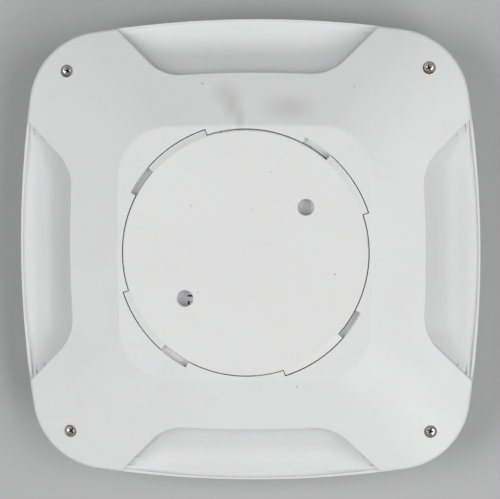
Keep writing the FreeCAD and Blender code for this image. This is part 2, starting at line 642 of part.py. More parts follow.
def scoop(label, turn, grow, top_z, cut_top):
    """One side intake: inner wall, two diagonal walls and a rising floor.

    The diagonal walls hang from the descending diagonal edges of the rear
    cover, so their level lines run flatter than the edges do.  grow moves
    every wall outward, so the same form makes the tray and, with no
    growth, the space inside it."""
    made = body(label)
    grow = Size.of(grow)
    steep = (D["valley_deep"] - D["tray_top_deep"]) / \
        (D["valley_edge"] - D["tray_top_edge"])
    run_x = steep + slope * 0.70711
    run_y = steep - slope * 0.70711
    deep = D["valley_deep"] + grow + 2
    lip = D["lip_thick"]

    def section(name, z):
        z = Size.of(z)
        out = sketch(made, name, offset=z)
        below = -z - D["tray_top_deep"]
        near = D["tray_top_edge"] + below / steep - grow
        # where this level meets the line straight under the diagonal edge
        hang_x = D["intake_half"] + below / slope
        hang_y = D["intake_edge"] - 0.25 + below / slope
        push = grow * 1.25
        half = hang_x - (hang_y - near) * run_x / run_y + push
        arc_r = D["rim_bow"] - lip
        p = (D["rim_half"] - D["rim_bow"]).v
        rr = arc_r.v
        k = (run_y / run_x).v
        # the level line leaves (half, near) at slope k and ends on the side arc
        qa = 1 + k * k
        off = near.v - p - k * half.v
        qb = 2 * k * off
        qc = off * off - rr * rr
        x = (-qb + math.sqrt(qb * qb - 4 * qa * qc)) / (2 * qa)
        y = near.v + k * (x - half.v)
        ang = math.atan2(y - p, x)
        arc = out.addGeometry(Part.ArcOfCircle(
            Part.Circle(Vector(0, p, 0), Vector(0, 0, 1), rr),
            ang, math.pi - ang), False)
        left = out.addGeometry(Part.LineSegment(
            Vector(-x, y, 0), Vector(-half.v, near.v, 0)), False)
        base = out.addGeometry(Part.LineSegment(
            Vector(-half.v, near.v, 0), Vector(half.v, near.v, 0)), False)
        right = out.addGeometry(Part.LineSegment(
            Vector(half.v, near.v, 0), Vector(x, y, 0)), False)
        out.addConstraint(Sketcher.Constraint("Coincident", arc, 2, left, 1))
        out.addConstraint(Sketcher.Constraint("Coincident", left, 2, base, 1))
        out.addConstraint(Sketcher.Constraint("Coincident", base, 2, right, 1))
        out.addConstraint(Sketcher.Constraint("Coincident", right, 2, arc, 1))
        out.addConstraint(Sketcher.Constraint("PointOnObject", arc, 3, -2))
        index = out.addConstraint(Sketcher.Constraint("Distance", arc, 3, -1, 1, -p))
        bind(out, index, D["rim_bow"] - D["rim_half"])
        index = out.addConstraint(Sketcher.Constraint("Radius", arc, rr))
        bind(out, index, arc_r)
        pin(out, base, 1, -half, near)
        pin(out, base, 2, half, near)
        index = out.addConstraint(Sketcher.Constraint("Angle", right, math.atan(k)))
        out.setExpression("Constraints[%d]" % index,
                          "atan(%s)" % (run_y / run_x).text)
        out.addConstraint(Sketcher.Constraint("Equal", left, right))
        return out

    a = section(label + "_top", top_z)
    b = section(label + "_low", -deep)
    loft(made, label + "_form", a, [b])
    # everything under the rising floor goes
    under = sketch(made, label + "_floor", role="YZ_Plane")
    lip_z = D["parting"] + D["lip_drop"]
    run = D["rim_half"] - lip - D["valley_edge"]
    fall = (D["valley_deep"] - lip_z) / run
    thick = grow * 0.85
    polygon(under, [
        (D["valley_edge"] - 14, -(D["valley_deep"] + thick) - fall * 14),
        (D["rim_half"] + 5, -(D["valley_deep"] + thick) + fall * (run + lip + 5)),
        (D["rim_half"] + 5, -deep - 9),
        (D["valley_edge"] - 14, -deep - 9)])
    base = slot_through(made, label + "_under", under, 170)
    if cut_top:
        # the tray's top edge stays parallel to the cover above it and leaves
        # the intake slot; close to the rim it rises closer to the cover
        lid = sketch(made, label + "_lid", role="YZ_Plane")
        down = D["plateau_drop"] + 2.25
        start, stop, end = D["plateau_half"] + 6, D["slot_end"], D["rim_half"] + 5
        level = [-down - slope * (y - D["plateau_half"]) for y in (start, stop, end)]
        polygon(lid, [
            (start, level[0] - D["intake_slot"]), (stop, level[1] - D["intake_slot"]),
            (stop, level[1] - D["cheek_gap"]), (end, level[2] - D["cheek_gap"]),
            (end, 8.0), (start, 8.0)])
        base = slot_through(made, label + "_lid_cut", lid, 170)

    def valley(e):
        """Low edges where the walls meet the floor."""
        ends = [v.Point for v in e.Vertexes]
        if len(ends) != 2 or min(p.y for p in ends) > D["rim_half"].v - 3:
            return False
        if middle(e).y > D["rim_half"].v - 2.5:
            return False
        low = D["lip_drop"].v + D["parting"].v - 0.2
        return max(p.z for p in ends) < -low + 1e-6

    def upright(e):
        ends = [v.Point for v in e.Vertexes]
        return (len(ends) == 2 and min(p.z for p in ends) < -D["valley_deep"].v + 0.01
                and max(p.z for p in ends) > -D["tray_top_deep"].v
                and middle(e).y < D["valley_edge"].v)

    if not cut_top:
        base = round_edges(made, label + "_turn", base, upright, D["tray_corner"])
        round_edges(made, label + "_round", base, valley, D["tray_round"])
    made.Placement = Placement(Vector(0, 0, 0), Rotation(Vector(0, 0, 1), turn))
    return made


trays = [scoop("tray_%d" % k, 90.0 * k, D["tray_wall"], -7.0, True) for k in range(4)]
spaces = [scoop("space_%d" % k, 90.0 * k, 0.0, -5.0, False) for k in range(4)]
front_solid = join("front_solid", [front_shell, posts_in] + trays)
front_holes = [
    rod("button_hole", 0, 0, -D["body_depth"] - 1, D["button_radius"] + D["button_gap"],
        D["wall"] + 2)]
for i, (sx, sy) in enumerate(CORNERS):
    front_holes.append(rod("post_bore_%d" % i, D["screw_at"] * sx, D["screw_at"] * sy,
                           -D["shank_end"] - 1, D["shank_radius"] + 0.02, 12))
for i in range(5):
    front_holes.append(block("sound_slot_%d" % i, 0, -D["sounder_at"] + (i - 2) * 2.6,
                             -D["body_depth"] - 1, 11.0 - abs(i - 2) * 2.2, 1.1,
                             D["wall"] + 1.5))
front_cut = join("front_cuts", spaces + front_holes)
front = cut("front_cover", front_solid, front_cut)

# --------------------------------------------------------- housing screws
screws = []
for i, (sx, sy) in enumerate(CORNERS):
    x, y = D["screw_at"] * sx, D["screw_at"] * sy
    made = body("housing_screw_%d" % i)
    outline = sketch(made, "screw_half_%d" % i, role="XZ_Plane")
    r, s = D["head_radius"], D["shank_radius"]
    polygon(outline, [
        (0, -D["shank_end"]), (s * 0.4, -D["shank_end"]),
        (s, -D["shank_end"] + 1.2), (s, -D["head_seat"]), (r, -D["head_seat"]),
        (r, -D["head_top"] - 0.45), (r - 0.4, -D["head_top"]), (0, -D["head_top"])])
    turned = made.newObject("PartDesign::Revolution", "screw_turned_%d" % i)
    turned.Profile = outline
    turned.ReferenceAxis = (outline, ["V_Axis"])
    turned.Angle = 360
    doc.recompute()
    cross = sketch(made, "cross_%d" % i, offset=-D["head_top"] + 0.2)
    half_long, half_wide = 0.85, 0.17
    polygon(cross, [
        (half_wide, half_wide), (half_wide, half_long), (-half_wide, half_long),
        (-half_wide, half_wide), (-half_long, half_wide), (-half_long, -half_wide),
        (-half_wide, -half_wide), (-half_wide, -half_long), (half_wide, -half_long),
        (half_wide, -half_wide), (half_long, -half_wide), (half_long, half_wide)])
    pocket(made, "cross_cut_%d" % i, cross, 0.75)
    place(made, x, y, 0, (0, 0, 1), (17.0, 52.0, 33.0, 71.0)[i])
    screws.append(made)
group("housing_screws", screws)

# ---------------------------------------------------------- circuit board
board = body("circuit_board")
outline = sketch(board, "board_outline", offset=-D["board_top"] - D["board_thick"])
bowed_square(outline, D["board_half"], 900, D["board_corner"])
pad(board, "board_slab", outline, D["board_thick"])
outline = sketch(board, "board_holes", offset=-D["board_top"] + 0.5)
for sx, sy in CORNERS:
    circle(outline, D["board_screw_at"] * sx, D["board_screw_at"] * sy, 1.1)
pocket(board, "board_hole_cut", outline, D["board_thick"] + 1)
board_low = -D["board_top"] - D["board_thick"]

board_screws = []
for i, (sx, sy) in enumerate(CORNERS):
    x, y = D["board_screw_at"] * sx, D["board_screw_at"] * sy
    board_screws.append(join("board_screw_%d" % i, [
        rod("board_screw_shank_%d" % i, x, y, board_low - 0.2, 0.8,
            D["board_thick"] + 3.8),
        rod("board_screw_head_%d" % i, x, y, board_low - 1.2, 1.9, 1.2)]))
group("board_screws", board_screws)

# ---------------------------------------------------------- smoke chamber
base = body("chamber_base")
outline = sketch(base, "base_outline", offset=board_low - 1.6)
circle(outline, 0, 0, D["chamber_radius"])
pad(base, "base_disc", outline, 1.6)
outline = sketch(base, "optic_blocks", offset=board_low - 1.6)
rectangle(outline, -9.2, -5.5, 2.6, 2.5)
rectangle(outline, 9.2, -5.5, 2.6, 2.5)
pad(base, "optic_block", outline, 5.6, upward=False)
outline = sketch(base, "optic_bores", role="YZ_Plane")
circle(outline, -5.5, board_low - 4.6, 1.6)
slot_through(base, "optic_bore", outline, 60)

cover = body("chamber_cover")
outline = sketch(cover, "cover_outline", offset=-D["chamber_end"])
circle(outline, 0, 0, D["chamber_radius"])
pad(cover, "cover_disc", outline, 1.4)
outline = sketch(cover, "vane_outline", offset=-D["chamber_end"] + 0.7)
polygon(outline, [(14.4, -3.0), (18.2, 1.6), (20.9, -1.9), (20.3, -2.5),
                  (18.2, 0.3), (14.9, -3.7)])
vane = pad(cover, "vane", outline, D["chamber_end"] + board_low - 2.4)
around(cover, "sixteen_vanes", [vane], 16)

mesh_ring = body("insect_mesh")
outline = sketch(mesh_ring, "mesh_outline", offset=-D["chamber_end"])
circle(outline, 0, 0, D["mesh_radius"])
circle(outline, 0, 0, D["chamber_radius"] + 0.05)
pad(mesh_ring, "mesh_wall", outline, D["chamber_end"] + board_low - 0.1)


def optic(name, side_x):
    """Small round optic lying in its block and looking at the centre."""
    barrel = rod(name + "_barrel", Size.of(side_x * 12.2), -5.5, board_low - 4.6, 1.5,
                 5.0, (0, 1, 0), -90.0 * side_x)
    flange = rod(name + "_flange", Size.of(side_x * 12.4), -5.5, board_low - 4.6,
                 1.9, 0.55, (0, 1, 0), -90.0 * side_x)
    dome = doc.addObject("Part::Sphere", name + "_dome")
    dome.Radius = 1.5
    place(dome, Size.of(side_x * 7.2), -5.5, board_low - 4.6)
    return join(name, [barrel, flange, dome])


optic("ir_emitter", -1)
optic("photodiode", 1)
join("thermistor", [
    rod("thermistor_bead", -37.0, 22.0, board_low - 6.5, 1.1, 2.0),
    rod("thermistor_lead_a", -37.4, 22.0, board_low - 5.0, 0.25, 5.0),
    rod("thermistor_lead_b", -36.6, 22.0, board_low - 5.0, 0.25, 5.0)])

# ---------------------------------------------------------------- sounder
cup = body("sounder_cup")
outline = sketch(cup, "cup_outline", offset=-D["body_depth"] + D["wall"])
circle(outline, 0, -D["sounder_at"], D["sounder_radius"])
pad(cup, "cup_solid", outline, 9.0)
outline = sketch(cup, "cup_hollow", offset=-D["body_depth"] + D["wall"] + 6.6)
circle(outline, 0, -D["sounder_at"], D["sounder_radius"] - 1.2)
pocket(cup, "cup_hollow_cut", outline, 7)
outline = sketch(cup, "cup_ledge", offset=-D["body_depth"] + D["wall"] + 10)
circle(outline, 0, -D["sounder_at"], D["sounder_radius"] - 3.2)
pocket(cup, "cup_ledge_cut", outline, 5)
piezo = join("piezo_disc", [
    rod("piezo_plate", 0, -D["sounder_at"], -D["body_depth"] + D["wall"] + 6.2,
        D["sounder_radius"] - 1.25, 0.4),
    rod("piezo_ceramic", 0, -D["sounder_at"], -D["body_depth"] + D["wall"] + 6.5,
        D["sounder_radius"] - 5, 0.4)])
piezo_top = -D["body_depth"] + D["wall"] + 6.9
group("sounder_contacts", [
    rod("sounder_pin_a", -3.0, -D["sounder_at"], piezo_top, 0.5,
        board_low - piezo_top),
    rod("sounder_pin_b", 3.0, -D["sounder_at"], piezo_top, 0.5,
        board_low - piezo_top)])

# ------------------------------------------------------------------ cells
for label, sx in (("left", -1), ("right", 1)):
    x = D["cell_at"] * sx
    z = -D["cell_axis"]
    half = D["cell_length"] / 2
    join("main_cell_" + label, [
        rod("cell_can_" + label, x, -half * 1.0, z, D["cell_radius"],
            D["cell_length"] - 1.4, (1, 0, 0), -90.0),
        rod("cell_pole_" + label, x, half - 1.6, z, 3.2, 1.6, (1, 0, 0), -90.0)])
    outside = block("holder_block_" + label, x, 0, -D["cell_axis"], 18.4,
                    D["cell_length"] + 7.0, D["cell_axis"] + board_low)
    inside = block("holder_room_" + label, x, 0, -D["cell_axis"] - 1, 15.9,
                   D["cell_length"] + 3.4, D["cell_axis"] + board_low - 0.2)
    cut("cell_holder_" + label, outside, inside)
    plate_y = half + 0.02
    join("cell_plate_" + label, [
        block("plate_" + label, x, plate_y + 0.35, z - 4, 9, 0.5, 8.5),
        block("plate_tail_" + label, x, plate_y + 0.35, z + 4, 3.0, 0.5,
              D["cell_axis"] + board_low - 5.25)])
    # bent leaf that presses on the flat end of the cell
    spring = body("cell_spring_" + label)
    outline = sketch(spring, "leaf_section_" + label, role="YZ_Plane")
    near, back = -half - 0.1, -half - 1.25
    far = -half - 1.6
    polygon(outline, [
        (far, z + 7.4), (back, z + 7.4), (back, z + 3.2), (near, z), (back, z - 3.2),
        (back, z - 4.2), (far, z - 4.2), (far, z - 3.3), (near - 0.42, z),
        (far, z + 3.3)])
    leaf = pad(spring, "leaf_" + label, outline, 5.0)
    place(spring, x - 2.5, 0, 0)

holder = body("coin_cell_holder")
outline = sketch(holder, "coin_outline", offset=board_low - 4.8)
circle(outline, D["coin_x"], D["coin_y"], D["coin_radius"] + 1.0)
pad(holder, "coin_slab", outline, 4.8)
outline = sketch(holder, "coin_room", offset=board_low - 1.2)
circle(outline, D["coin_x"], D["coin_y"], D["coin_radius"] + 0.15)
pocket(holder, "coin_room_cut", outline, 5)
join("coin_cell", [
    rod("coin_can", D["coin_x"], D["coin_y"], board_low - 1.2 - D["coin_thick"],
        D["coin_radius"], D["coin_thick"] - 0.5),
    rod("coin_cap", D["coin_x"], D["coin_y"], board_low - 1.8, 8.6, 0.6)])

# ----------------------------------------------- parts on the main board
group("antennas", [
    block("antenna_a", -28.0, 38.0, board_low - 1.0, 16, 3, 1.0),
    block("antenna_b", 28.0, -38.0, board_low - 1.0, 16, 3, 1.0)])
block("rf_shield", -20.0, 30.0, board_low - 2.4, 17, 13, 2.4)
block("controller_chip", 22.0, -28.5, board_low - 1.0, 8, 8, 1.0)
rod("storage_capacitor", -24.0, -27.0, board_low - 10.5, 4.0, 10.5)
choke = body("boost_choke")
outline = sketch(choke, "choke_outline", offset=board_low - 4)
circle(outline, -35.5, -22.5, 3.0)
pad(choke, "choke_core", outline, 4.0)
outline = sketch(choke, "choke_flanges", offset=board_low - 4)
circle(outline, -35.5, -22.5, 3.8)
pad(choke, "choke_flange", outline, 0.9)
block("board_header", 0, 24.4, board_low - 16.4, 12.4, 2.4, 16.4)

# ------------------------------------------------- front board and button
low_board = body("button_board")
front_board_top = -D["body_depth"] + 6.0
outline = sketch(low_board, "low_board_outline", offset=front_board_top - 1.0)
circle(outline, 0, 0, 12.6)
pad(low_board, "low_board_disc", outline, 1.0)
outline = sketch(low_board, "low_board_tongue", offset=front_board_top - 1.0)
rectangle(outline, 0, 17.8, 7.4, 9.0)
pad(low_board, "low_board_neck", outline, 1.0)
low_board_under = front_board_top - 1.0
group("board_spacers", [
    rod("spacer_a", -8.0, 0, front_board_top, 1.6,
        -D["chamber_end"] - front_board_top),
    rod("spacer_b", 8.0, 0, front_board_top, 1.6,
        -D["chamber_end"] - front_board_top)])
block("status_led", 0, 0, low_board_under - 1.0, 3.0, 1.6, 1.0)
cut("test_switch",
    block("test_switch_block", 0, -D["key_at"], low_board_under - 1.5, 6, 6, 1.5),
    rod("test_switch_bore", 0, -D["key_at"], low_board_under - 2.5, 1.75, 2.3))
rod("test_switch_key", 0, -D["key_at"], low_board_under - 2.2, 1.7, 1.3)

button = body("test_button")
outline = sketch(button, "cap_outline", offset=-D["body_depth"])
circle(outline, 0, 0, D["button_radius"])
cap = pad(button, "cap", outline, 2.1)
cap_round = round_edges(button, "cap_round", cap,
                        lambda e: abs(middle(e).z + D["body_depth"].v) < 1e-6, 0.5)
outline = sketch(button, "flange_outline", offset=-D["body_depth"] + D["wall"] + 0.05)
circle(outline, 0, 0, D["button_radius"] + 1.5)
pad(button, "flange", outline, 0.55)
outline = sketch(button, "stem_outline", offset=-D["body_depth"] + D["wall"] + 0.5)
circle(outline, 0, -D["key_at"], 1.6)
pad(button, "stem", outline, low_board_under.v + 31.0 - 2.0 - 0.5 - 2.25)
outline = sketch(button, "lens_seat", offset=-D["body_depth"] + 5)
circle(outline, 0, 0, D["lens_radius"])
pocket(button, "lens_seat_cut", outline, 8)
rod("indicator_lens", 0, 0, -D["body_depth"], D["lens_radius"], 2.8)

# ------------------------------------------- switches behind the bracket
cut("tamper_switch",
    block("tamper_block", 0, D["tamper_at"], -D["board_top"], 6.0, 4.5, 1.7),
    rod("tamper_bore", 0, D["tamper_at"], -D["board_top"] + 0.15, 1.05, 3))
rod("tamper_plunger", 0, D["tamper_at"], -D["board_top"] + 1.1, 1.0,
    D["board_top"] - D["disc_thick"] - 1.15)
switch_block = block("power_block", 0, -D["power_at"], -D["board_top"], 9.0, 4.2, 1.7)
switch_room = block("power_room", 0, -D["power_at"], -D["board_top"] + 0.5, 6.4, 2.2, 3)
cut("power_switch", switch_block, switch_room)
join("power_switch_slider", [
    block("slider_foot", -1.0, -D["power_at"], -D["board_top"] + 0.55, 3.8, 2.1, 0.9),
    block("slider_knob", -1.0, -D["power_at"], -D["board_top"] + 1.2, 1.8, 1.7, 2.35)])
block("id_label", D["label_x"], 0, -D["recess_floor"], D["label_half_x"] * 2,
      D["label_half_y"] * 2, D["label_thick"])

doc.recompute()

# ------------------------------------------------------------ write files
NODES = [
    "mounting_bracket", "rear_cover", "front_cover", "housing_screws",
    "circuit_board", "board_screws", "chamber_base", "chamber_cover",
    "insect_mesh", "ir_emitter", "photodiode", "thermistor", "sounder_cup",
    "piezo_disc", "sounder_contacts", "main_cell_left", "main_cell_right",
    "cell_holder_left", "cell_holder_right", "cell_plate_left",
    "cell_plate_right", "cell_spring_left", "cell_spring_right",
    "coin_cell_holder", "coin_cell", "antennas", "rf_shield",
    "controller_chip", "storage_capacitor", "boost_choke", "board_header",
    "button_board", "board_spacers", "status_led", "test_switch",
    "test_switch_key", "test_button", "indicator_lens", "tamper_switch",
    "tamper_plunger", "power_switch", "power_switch_slider", "id_label",
]

for made in doc.Objects:
    if "Invalid" in made.State or "Error" in made.State:
        raise RuntimeError("%s is %s" % (made.Name, made.State))

by_label = {}
for made in doc.Objects:
    by_label.setdefault(made.Label, made)

os.makedirs("parts", exist_ok=True)
for name in NODES:
    made = by_label[name]
    shape = made.Shape
    if shape.isNull() or not shape.isValid() or not shape.Solids:
        raise RuntimeError("%s has no valid shape" % name)
    box = shape.BoundBox
    print("%-22s solids %2d volume %9.2f  x %7.2f %7.2f  y %7.2f %7.2f  z %7.2f %7.2f" % (
        name, len(shape.Solids), shape.Volume, box.XMin, box.XMax, box.YMin,
        box.YMax, box.ZMin, box.ZMax))
for name in NODES:
    by_label[name].Shape.exportStep("parts/%s.step" % name)
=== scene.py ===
import math

import bmesh
import bpy
from mathutils import Matrix, Vector


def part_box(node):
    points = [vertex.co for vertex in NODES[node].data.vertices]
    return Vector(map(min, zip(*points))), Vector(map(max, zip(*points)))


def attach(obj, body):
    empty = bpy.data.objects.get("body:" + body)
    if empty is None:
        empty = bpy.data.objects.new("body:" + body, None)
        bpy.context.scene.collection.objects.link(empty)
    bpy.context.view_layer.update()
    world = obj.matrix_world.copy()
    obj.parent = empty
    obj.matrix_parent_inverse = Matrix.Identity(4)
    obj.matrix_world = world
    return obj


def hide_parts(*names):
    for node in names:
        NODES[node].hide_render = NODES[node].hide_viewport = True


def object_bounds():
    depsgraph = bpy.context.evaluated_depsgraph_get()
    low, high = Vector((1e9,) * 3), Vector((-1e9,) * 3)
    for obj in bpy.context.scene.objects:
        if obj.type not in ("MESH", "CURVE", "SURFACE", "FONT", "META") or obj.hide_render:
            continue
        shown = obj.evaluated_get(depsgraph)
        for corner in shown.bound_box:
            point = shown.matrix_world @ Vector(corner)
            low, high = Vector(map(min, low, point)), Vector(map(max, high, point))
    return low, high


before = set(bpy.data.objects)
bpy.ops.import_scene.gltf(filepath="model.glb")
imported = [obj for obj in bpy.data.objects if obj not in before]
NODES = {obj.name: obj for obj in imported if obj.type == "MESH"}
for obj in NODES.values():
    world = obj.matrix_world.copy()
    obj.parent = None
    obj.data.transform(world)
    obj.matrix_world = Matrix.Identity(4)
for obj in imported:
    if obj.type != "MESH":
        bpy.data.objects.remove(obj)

CAD_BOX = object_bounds()
MM = 0.001


# ---------------------------------------------------------------- finishes
class Finish:
    """One procedural material, built node by node in the object's own coordinates, in metres."""

    def __init__(self, name):
        self.material = bpy.data.materials.new(name)
        self.material.use_nodes = True
        self.tree = self.material.node_tree
        self.tree.nodes.clear()
        self.out = self.node("ShaderNodeOutputMaterial")
        self.bsdf = self.node("ShaderNodeBsdfPrincipled")
        self.tree.links.new(self.bsdf.outputs[0], self.out.inputs[0])
        self.where = self.node("ShaderNodeTexCoord").outputs["Object"]

    def node(self, kind, **inputs):
        made = self.tree.nodes.new(kind)
        for key, value in inputs.items():
            made.inputs[key.replace("_", " ")].default_value = value
        return made

    def join(self, source, target):
        self.tree.links.new(source, target)

    def noise(self, size, detail=3.0, rough=0.5, at=None, skew=0.0):
        """Fractal noise with features about size metres across."""
        made = self.node("ShaderNodeTexNoise", Scale=1.0 / size, Detail=detail, Roughness=rough, Distortion=skew)
        self.join(at or self.where, made.inputs["Vector"])
        return made.outputs["Fac"]

    def ramp(self, source, low, high, start=0.0, end=1.0):
        """source, with low..high carried to start..end and clamped there."""
        made = self.node("ShaderNodeMapRange")
        made.inputs["From Min"].default_value = low
        made.inputs["From Max"].default_value = high
        made.inputs["To Min"].default_value = start
        made.inputs["To Max"].default_value = end
        self.join(source, made.inputs["Value"])
        return made.outputs["Result"]

    def maths(self, kind, a, b):
        made = self.node("ShaderNodeMath")
        made.operation = kind
        for socket, value in zip(made.inputs, (a, b)):
            if isinstance(value, (int, float)):
                socket.default_value = value
            else:
                self.join(value, socket)
        return made.outputs[0]

    def blend(self, amount, a, b):
        """Colour a where amount is 0 and b where it is 1."""
        made = self.node("ShaderNodeMix")
        made.data_type = "RGBA"
        self.join(amount, made.inputs[0])
        for socket, value in ((made.inputs[6], a), (made.inputs[7], b)):
            if isinstance(value, tuple):
                socket.default_value = (*value, 1.0)
            else:
                self.join(value, socket)
        return made.outputs[2]

    def colour(self, source):
        self.join(source, self.bsdf.inputs["Base Color"])

    def rough(self, source):
        self.join(source, self.bsdf.inputs["Roughness"])

    def relief(self, *layers):
        """Layers of (height socket, depth in metres), stacked in the surface normal."""
        last = None
        for height, depth in layers:
            made = self.node("ShaderNodeBump", Strength=1.0, Distance=depth)
            self.join(height, made.inputs["Height"])
            if last:
                self.join(last, made.inputs["Normal"])
            last = made.outputs["Normal"]
        self.join(last, self.bsdf.inputs["Normal"])

    def set(self, **sockets):
        for key, value in sockets.items():
            self.bsdf.inputs[key.replace("_", " ")].default_value = value


def moulded_white(name, tint, shade, gloss, seed, specks_and_painted_reflections=()):
    """Matte white moulded housing: spark-textured skin, faint yellowing in patches, handling smears and a few specks.

    specks_and_painted_reflections are single dark spots at (x, y), reaching rx and ry, all in mm, with a strength: the
    small ones are real grains, the broad ones are painted dark reflections."""
    f = Finish(name)
    shift = f.node("ShaderNodeMapping")
    shift.inputs["Location"].default_value = (seed, seed * 0.7, seed * 0.3)
    f.join(f.where, shift.inputs["Vector"])
    at = shift.outputs["Vector"]
    broad = f.ramp(f.noise(0.034, 4.0, 0.55, at), 0.32, 0.70)
    base = f.blend(broad, tint, shade)
    smear = f.ramp(f.noise(0.011, 5.0, 0.6, at, 1.6), 0.56, 0.78, 0.0, 0.30)
    base = f.blend(smear, base, tuple(c * 0.93 for c in shade))
    speck = f.node("ShaderNodeTexVoronoi", Scale=1.0 / 0.0115, Randomness=1.0)
    f.join(at, speck.inputs["Vector"])
    dots = f.ramp(speck.outputs["Distance"], 0.012, 0.026, 0.75, 0.0)
    base = f.blend(dots, base, (0.19, 0.17, 0.15))
    # Dark spots: the small ones are grains in the plastic, the broad ones are painted dark reflections.
    for x, y, rx, ry, strength in specks_and_painted_reflections:
        to_mark = f.node("ShaderNodeVectorMath")
        to_mark.operation = "SUBTRACT"
        to_mark.inputs[1].default_value = (x * MM, y * MM, 0.0)
        f.join(f.where, to_mark.inputs[0])
        reach = f.node("ShaderNodeVectorMath")
        reach.operation = "MULTIPLY"
        reach.inputs[1].default_value = (1 / (rx * MM), 1 / (ry * MM), 0.0)
        f.join(to_mark.outputs[0], reach.inputs[0])
        size = f.node("ShaderNodeVectorMath")
        size.operation = "LENGTH"
        f.join(reach.outputs[0], size.inputs[0])
        base = f.blend(f.ramp(size.outputs["Value"], 0.15, 1.0, strength, 0.0), base, (0.30, 0.29, 0.27))
    f.colour(base)
    skin = f.noise(0.00042, 2.0, 0.6, at)
    rough = f.maths("ADD", f.ramp(f.noise(0.017, 4.0, 0.6, at), 0.3, 0.7, gloss - 0.045, gloss + 0.05),
                    f.ramp(smear, 0.0, 0.30, 0.0, -0.05))
    f.rough(f.maths("ADD", rough, f.ramp(skin, 0.3, 0.7, -0.02, 0.03)))
    f.relief((f.noise(0.021, 2.0, 0.4, at), 0.00006), (f.noise(0.0022, 2.0, 0.5, at), 0.000006), (skin, 0.0000075))
    f.set(IOR=1.49, Specular_IOR_Level=0.42, Subsurface_Weight=0.04, Subsurface_Scale=0.0012)
    return f.material


def plated(name, tint, shade, gloss):
    """Plated steel: bright, with cloudy patches, fine turning scratches and faint stains."""
    f = Finish(name)
    cloudy = f.ramp(f.noise(0.0011, 4.0, 0.6), 0.35, 0.68)
    stain = f.ramp(f.noise(0.0032, 3.0, 0.6, skew=1.0), 0.58, 0.74, 0.0, 0.5)
    f.colour(f.blend(stain, f.blend(cloudy, tint, shade), tuple(c * 0.62 for c in shade)))
    squeeze = f.node("ShaderNodeMapping")
    squeeze.inputs["Scale"].default_value = (1.0, 9.0, 4.0)
    f.join(f.where, squeeze.inputs["Vector"])
    lines = f.noise(0.0009, 3.0, 0.6, squeeze.outputs["Vector"])
    f.rough(f.maths("ADD", f.ramp(cloudy, 0.0, 1.0, gloss, gloss + 0.14), f.ramp(lines, 0.3, 0.7, -0.03, 0.06)))
    f.relief((lines, 0.0000035), (f.noise(0.00035, 2.0), 0.000003))
    f.set(Metallic=1.0)
    return f.material


def resin(name, tint, shade, gloss, patch=0.004, grain=0.0004, depth=0.000008, **sockets):
    """A plain moulded or potted material, mottled in colour and gloss, with a fine skin."""
    f = Finish(name)
    mottle = f.ramp(f.noise(patch, 4.0, 0.6), 0.3, 0.7)
    f.colour(f.blend(mottle, tint, shade))
    skin = f.noise(grain, 3.0, 0.6)
    f.rough(f.maths("ADD", f.ramp(mottle, 0.0, 1.0, gloss - 0.04, gloss + 0.06), f.ramp(skin, 0.3, 0.7, -0.02, 0.04)))
    f.relief((f.noise(patch * 1.6, 2.0), depth * 2), (skin, depth))
    f.set(**sockets)
    return f.material


def laminate(name):
    """Solder-masked circuit board: woven glass under green mask, with darker track runs and bright pads."""
    f = Finish(name)
    tracks = f.node("ShaderNodeTexBrick", Scale=1.0)
    tracks.inputs["Brick Width"].default_value = 0.0072
    tracks.inputs["Row Height"].default_value = 0.0016
    tracks.inputs["Mortar Size"].default_value = 0.00022
    tracks.offset = 0.37
    f.join(f.where, tracks.inputs["Vector"])
    weave = f.node("ShaderNodeTexVoronoi", Scale=1.0 / 0.0019, Randomness=0.25)
    f.join(f.where, weave.inputs["Vector"])
    mask = f.blend(f.ramp(f.noise(0.006, 4.0), 0.3, 0.7), (0.010, 0.085, 0.030), (0.016, 0.125, 0.045))
    mask = f.blend(f.ramp(tracks.outputs["Fac"], 0.0, 1.0, 0.0, 0.55), mask, (0.030, 0.190, 0.075))
    pads = f.ramp(weave.outputs["Distance"], 0.14, 0.20, 0.65, 0.0)
    f.colour(f.blend(pads, mask, (0.42, 0.40, 0.34)))
    f.rough(f.ramp(f.noise(0.003, 4.0), 0.3, 0.7, 0.24, 0.40))
    f.relief((tracks.outputs["Fac"], 0.00002), (f.noise(0.0005, 2.0), 0.000008))
    f.set(IOR=1.52)
    return f.material


def perforated(name):
    """Etched insect screen: rows of small round holes, not cut but painted near-black as the shade seen through them,
    in bright sheet.
    """
    f = Finish(name)
    cells = f.node("ShaderNodeTexVoronoi", Scale=1.0 / 0.00095, Randomness=0.0)
    f.join(f.where, cells.inputs["Vector"])
    hole = f.ramp(cells.outputs["Distance"], 0.33, 0.40, 1.0, 0.0)
    sheet = f.blend(f.ramp(f.noise(0.004, 4.0), 0.3, 0.7), (0.50, 0.49, 0.47), (0.60, 0.59, 0.58))
    # Painted shade: the holes are coloured near-black instead of being cut.
    f.colour(f.blend(hole, sheet, (0.012, 0.012, 0.012)))
    f.rough(f.ramp(hole, 0.0, 1.0, 0.34, 0.9))
    f.relief((f.maths("SUBTRACT", 1.0, hole), 0.00012), (f.noise(0.0006, 2.0), 0.000006))
    f.set(Metallic=0.6)
    return f.material


